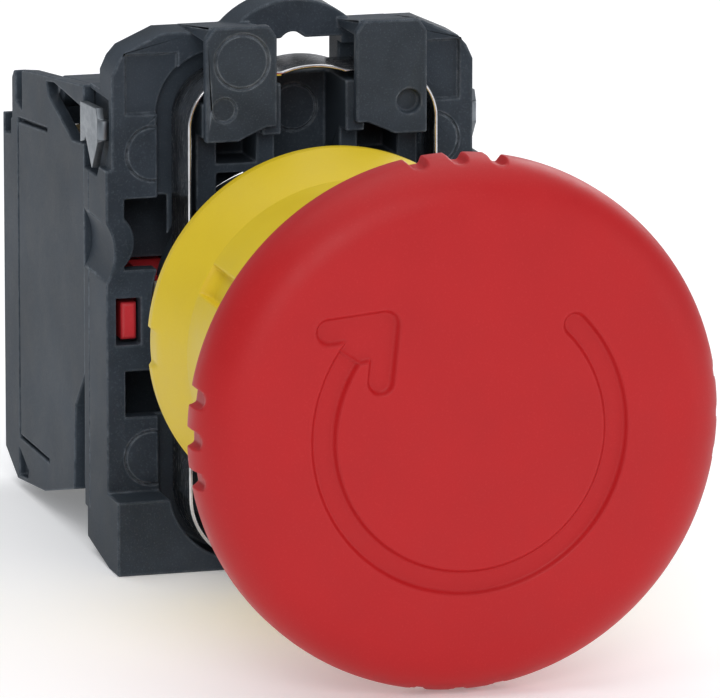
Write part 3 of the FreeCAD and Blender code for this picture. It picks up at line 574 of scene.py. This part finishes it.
def arrow_distance(x, z):
    """Signed distance in mm to the turn-to-release arrow: negative inside it."""
    mean_r = ARROW_R - ARROW_BAND / 2

    def at(radius, degrees):
        return np.array([radius * math.cos(math.radians(degrees)), radius * math.sin(math.radians(degrees))])

    radius = np.hypot(x, z)
    angle = np.degrees(np.arctan2(z, x)) % 360.0
    in_gap = (angle > ARROW_TAIL) & (angle < ARROW_NECK)
    band = np.where(in_gap, 1e9, np.abs(radius - mean_r) - ARROW_BAND / 2)
    tail = at(mean_r, ARROW_TAIL)
    shape = np.minimum(band, np.hypot(x - tail[0], z - tail[1]) - ARROW_BAND / 2)
    tip = at(mean_r - 0.4, ARROW_TIP)
    fill = [tip]
    for spread, neck_r in ((-39.0, ARROW_R), (39.0, ARROW_R - ARROW_BAND)):
        end = tip + at(ARROW_LEG, ARROW_TIP + 98.0 + spread)
        shape = np.minimum(shape, capsule(x, z, tip, end, ARROW_LEG_R))
        half_way = tip + (end - tip) * 0.6
        rim = at(neck_r, ARROW_NECK)
        fill += [half_way, rim] if spread < 0 else [rim, half_way]
    return np.minimum(shape, wedge(x, z, fill))


def cap_outline():
    """Rows of the cap from the middle of its face, round the rim and back up inside."""
    edge_r = RIM_CENTRE[0] + RIM_CORNER_R * math.sin(DOME_SLOPE)
    edge_y = RIM_CENTRE[1] - RIM_CORNER_R * math.cos(DOME_SLOPE)
    rise = edge_y - HEAD_TOP_Y
    dome_r = (edge_r ** 2 + rise ** 2) / (2 * rise)
    radii = np.concatenate([
        np.linspace(0.02, 6.0, 14)[:-1], np.arange(6.0, 14.4, 0.1), np.linspace(14.4, edge_r, 6),
    ])
    face = [(r, HEAD_TOP_Y + dome_r - math.sqrt(dome_r ** 2 - r ** 2)) for r in radii]
    turns = np.linspace(-90 + math.degrees(DOME_SLOPE), 0, 16)[1:]
    rim = [(RIM_CENTRE[0] + RIM_CORNER_R * math.cos(t), RIM_CENTRE[1] + RIM_CORNER_R * math.sin(t))
           for t in np.radians(turns)]
    rim += [(HEAD_R, RIM_CENTRE[1] + 0.45), (HEAD_R, RIM_EDGE_Y - 0.3)]
    rim += [(HEAD_R - 0.1, RIM_EDGE_Y - 0.08), (HEAD_R - 0.35, RIM_EDGE_Y + 0.18)]
    below = [(SKIRT_R + 2.6, -27.99), (SKIRT_R + 0.8, -26.6), (SKIRT_R + 0.2, -25.9), (SKIRT_R, -25.0)]
    below += [(SKIRT_R, SKIRT_REAR_Y - 0.25), (SKIRT_R - 0.25, SKIRT_REAR_Y)]
    below += [(SKIRT_BORE_R + 0.25, SKIRT_REAR_Y), (SKIRT_BORE_R, SKIRT_REAR_Y - 0.25)]
    below += [(SKIRT_BORE_R, -27.6), (17.6, -34.8), (18.2, -35.4), (17.4, -36.4), (16.0, -36.6)]
    boss_edge_y = CAP_BOSS_REAR_Y - CAP_BOSS_CHAMFER
    below += [(CAP_BOSS_R + 0.2, -37.1), (CAP_BOSS_R, -36.9), (CAP_BOSS_R, boss_edge_y)]
    below += [(CAP_BOSS_R - CAP_BOSS_CHAMFER, CAP_BOSS_REAR_Y)]
    below += [(CAP_BOSS_BORE_R + CAP_BOSS_CHAMFER, CAP_BOSS_REAR_Y), (CAP_BOSS_BORE_R, boss_edge_y)]
    below += [(CAP_BOSS_BORE_R, -37.1), (0.02, -37.2)]
    return np.array(face + rim + below), len(face), len(face) + len(rim)


def mushroom_cap(looks):
    half = math.degrees(GRIP_NOTCH_W / 2 / HEAD_R)
    angles = angle_list(0.6, GRIP_NOTCH_ANGLES, half, 0.42)
    outline, face_rows, rim_rows = cap_outline()
    r, y, a = lathe_grid(outline, angles)
    x, z = r * np.cos(a), r * np.sin(a)
    # the arrow is pressed into the face, with a soft lip and a rounded floor
    distance = arrow_distance(x[:face_rows], z[:face_rows])
    y[:face_rows] += ARROW_DEPTH * (1 - ease(distance, -0.26, 0.1))
    # grip notches round the rim
    rows = slice(face_rows, rim_rows)
    degrees = np.degrees(a[rows])
    cut = np.zeros(degrees.shape)
    for centre in GRIP_NOTCH_ANGLES:
        off = np.radians((degrees - centre + 180.0) % 360.0 - 180.0) * HEAD_R
        front = GRIP_NOTCH_Y + GRIP_NOTCH_W / 2 - np.sqrt(np.clip((GRIP_NOTCH_W / 2) ** 2 - off ** 2, 0, None))
        across = 1 - ease(np.abs(off), GRIP_NOTCH_W / 2 - 0.16, GRIP_NOTCH_W / 2 + 0.1)
        cut = np.maximum(cut, across * ease(y[rows], front - 0.12, front + 0.3))
    floor_r = HEAD_R - GRIP_NOTCH_DEPTH
    r[rows] = r[rows] - cut * np.clip(r[rows] - floor_r, 0.0, None)
    piece = grid_mesh("mushroom_cap_body", r, y, a, closed=False)
    return finish_piece(piece, "mushroom_cap", looks)


# ---------------------------------------------------------------- bezel

BEZEL_R = 14.5
BEZEL_EDGE_Y = -1.9
BEZEL_REAR_Y = -0.8
CREASE_Y = -7.0
CREASE_R = 12.95
BEZEL_FRONT_Y = -18.5
BEZEL_BORE_R = 10.9
BARREL_BORE_R = 10.75
BEZEL_NOTCH_W = 2.45
BEZEL_NOTCH_FLOOR_R = 12.08
SEAL_GROOVE_R = 11.9
SEAL_GROOVE_FRONT_Y = -17.4
SEAL_GROOVE_REAR_Y = -16.0
BORE_STEP_Y = -6.2
GATE_FLAT_DEPTH = 0.3
GATE_FLAT_LENGTH = 1.3
GATE_FLAT_LOW_Z = -1.55
GATE_FLAT_HIGH_Z = 1.1
BEZEL_NOTCH_ANGLES = [152.6 + 90 * quarter for quarter in range(4)]


def bezel_ring(looks):
    corners = [
        (BARREL_BORE_R, BEZEL_REAR_Y, 0.15), (BEZEL_R, BEZEL_REAR_Y, 0.35), (BEZEL_R, BEZEL_EDGE_Y, 0.45),
        (CREASE_R, CREASE_Y, 0.8), (CREASE_R, BEZEL_FRONT_Y, 0.45), (BEZEL_BORE_R, BEZEL_FRONT_Y, 0.3),
        (BEZEL_BORE_R, SEAL_GROOVE_FRONT_Y, 0.0), (SEAL_GROOVE_R, SEAL_GROOVE_FRONT_Y, 0.0),
        (SEAL_GROOVE_R, SEAL_GROOVE_REAR_Y, 0.0), (BEZEL_BORE_R, SEAL_GROOVE_REAR_Y, 0.0),
        (BEZEL_BORE_R, BORE_STEP_Y, 0.1), (BARREL_BORE_R, BORE_STEP_Y, 0.0),
    ]
    outline = divided(rounded_outline(corners), 0.6)
    half = math.degrees(BEZEL_NOTCH_W / 2 / CREASE_R)
    angles = angle_list(1.0, BEZEL_NOTCH_ANGLES, half, 0.35)
    r, y, a = lathe_grid(outline, angles)
    outer = r > BEZEL_NOTCH_FLOOR_R + 0.15
    degrees = np.degrees(a)
    for centre in BEZEL_NOTCH_ANGLES:
        off = np.radians((degrees - centre + 180.0) % 360.0 - 180.0) * CREASE_R
        across = 1 - ease(np.abs(off), BEZEL_NOTCH_W / 2 - 0.14, BEZEL_NOTCH_W / 2 + 0.08)
        along = 1 - ease(y, CREASE_Y - 0.35, CREASE_Y + 0.05)
        cut = np.where(outer, across * along, 0.0)
        r = r - cut * np.clip(r - BEZEL_NOTCH_FLOOR_R, 0.0, None)
    # the moulding gate's flat on the flange, at nine o'clock
    z = r * np.sin(a)
    flat = (z > GATE_FLAT_LOW_Z) & (z < GATE_FLAT_HIGH_Z) & (np.cos(a) < 0)
    flat &= y > BEZEL_EDGE_Y - GATE_FLAT_LENGTH
    r = np.where(flat, np.minimum(r, BEZEL_R - GATE_FLAT_DEPTH), r)
    piece = grid_mesh("bezel_ring_body", r, y, a, closed=True)
    return finish_piece(piece, "bezel_ring", looks)


# ---------------------------------------------------------------- springs


COIL_STEPS = 40         # steps of a turn
COIL_SIDES = 10         # sides of the wire
CLOSING_TURNS = 0.135   # of a turn at each end
EVEN_SHARE = 0.65       # share of the rise that is even from end to end


def coil(name, node, looks, mean_r, wire_r, y0, y1, turns, x=0.0):
    """A wire spring along Y, wound closer at its ends, as a round tube swept along its helix."""
    steps = int(turns * COIL_STEPS)
    sides = COIL_SIDES
    points, faces = [], []
    end = CLOSING_TURNS / turns
    for i in range(steps + 1):
        share = i / steps
        rise = float(ease(np.array(share), end, 1 - end)) * (1 - EVEN_SHARE) + share * EVEN_SHARE
        y = y0 + wire_r + (y1 - y0 - 2 * wire_r) * rise
        angle = 2 * math.pi * turns * share
        out = Vector((math.cos(angle), 0, math.sin(angle)))
        centre = Vector((x, y, 0)) + out * mean_r
        for k in range(sides):
            t = 2 * math.pi * k / sides
            points.append((centre + out * wire_r * math.cos(t) + Vector((0, wire_r * math.sin(t), 0))) * MM)
    for i in range(steps):
        for k in range(sides):
            n = (k + 1) % sides
            a, b = i * sides, (i + 1) * sides
            faces.append((a + k, a + n, b + n, b + k))
    faces.append(tuple(range(sides)))
    faces.append(tuple(reversed(range(steps * sides, (steps + 1) * sides))))
    mesh = bpy.data.meshes.new(name)
    mesh.from_pydata([tuple(p) for p in points], [], faces)
    bm = bmesh.new()
    bm.from_mesh(mesh)
    bmesh.ops.recalc_face_normals(bm, faces=bm.faces)
    bm.to_mesh(mesh)
    bm.free()
    mesh.shade_smooth()
    return dress(link(bpy.data.objects.new(name, mesh)), node, looks)


TRIP_SPRING_Y = (0.6, 7.9)
TWIST_SPRING_Y = (-27.3, -20.0)
PLUNGER_X = 10.0


def make_springs(looks):
    """Wire coils in place of the CAD springs; the plunger springs ride with the base body."""
    trip = coil("trip_spring_wire", "trip_spring", looks, 6.0, 0.5, *TRIP_SPRING_Y, 5.25)
    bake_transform(trip)
    twist = coil("twist_spring_wire", "twist_spring", looks, 6.2, 0.4, *TWIST_SPRING_Y, 5)
    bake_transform(twist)
    for prefix, side in (("nc", -1), ("no", 1)):
        low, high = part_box(prefix + "_plunger_spring")
        wire = coil(prefix + "_plunger_spring_wire", prefix + "_plunger_spring", looks, 1.3, 0.25,
                    low.y * PER_METRE, high.y * PER_METRE, 7, side * PLUNGER_X)
        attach(wire, "base")
        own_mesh(wire)


# ---------------------------------------------------------------- the whole


CORNER_ROUND = {
    "fixing_collar": 0.16, "operator_body": 0.15, "nc_housing": 0.14, "no_housing": 0.14,
    "nc_cover": 0.12, "no_cover": 0.12, "locking_bail": 0.19, "side_clip_left": 0.06,
    "side_clip_right": 0.06, "clamp_pad": 0.08, "clamp_screw": 0.08, "nc_plunger": 0.1,
    "no_plunger": 0.1, "nc_terminals": 0.05, "no_terminals": 0.05, "nc_terminal_screws": 0.08,
    "no_terminal_screws": 0.08, "nc_clamp_plates": 0.07, "no_clamp_plates": 0.07, "drive_plate": 0.12,
}


def main():
    looks = make_looks()
    make_camera()
    make_stage()
    for name, node in NODES.items():
        node.material_slots[0].material = looks[SLOT_OF[name]]
    mushroom_cap(looks)
    bezel_ring(looks)
    make_springs(looks)
    for node, width in CORNER_ROUND.items():
        refined(node, looks, width)


main()
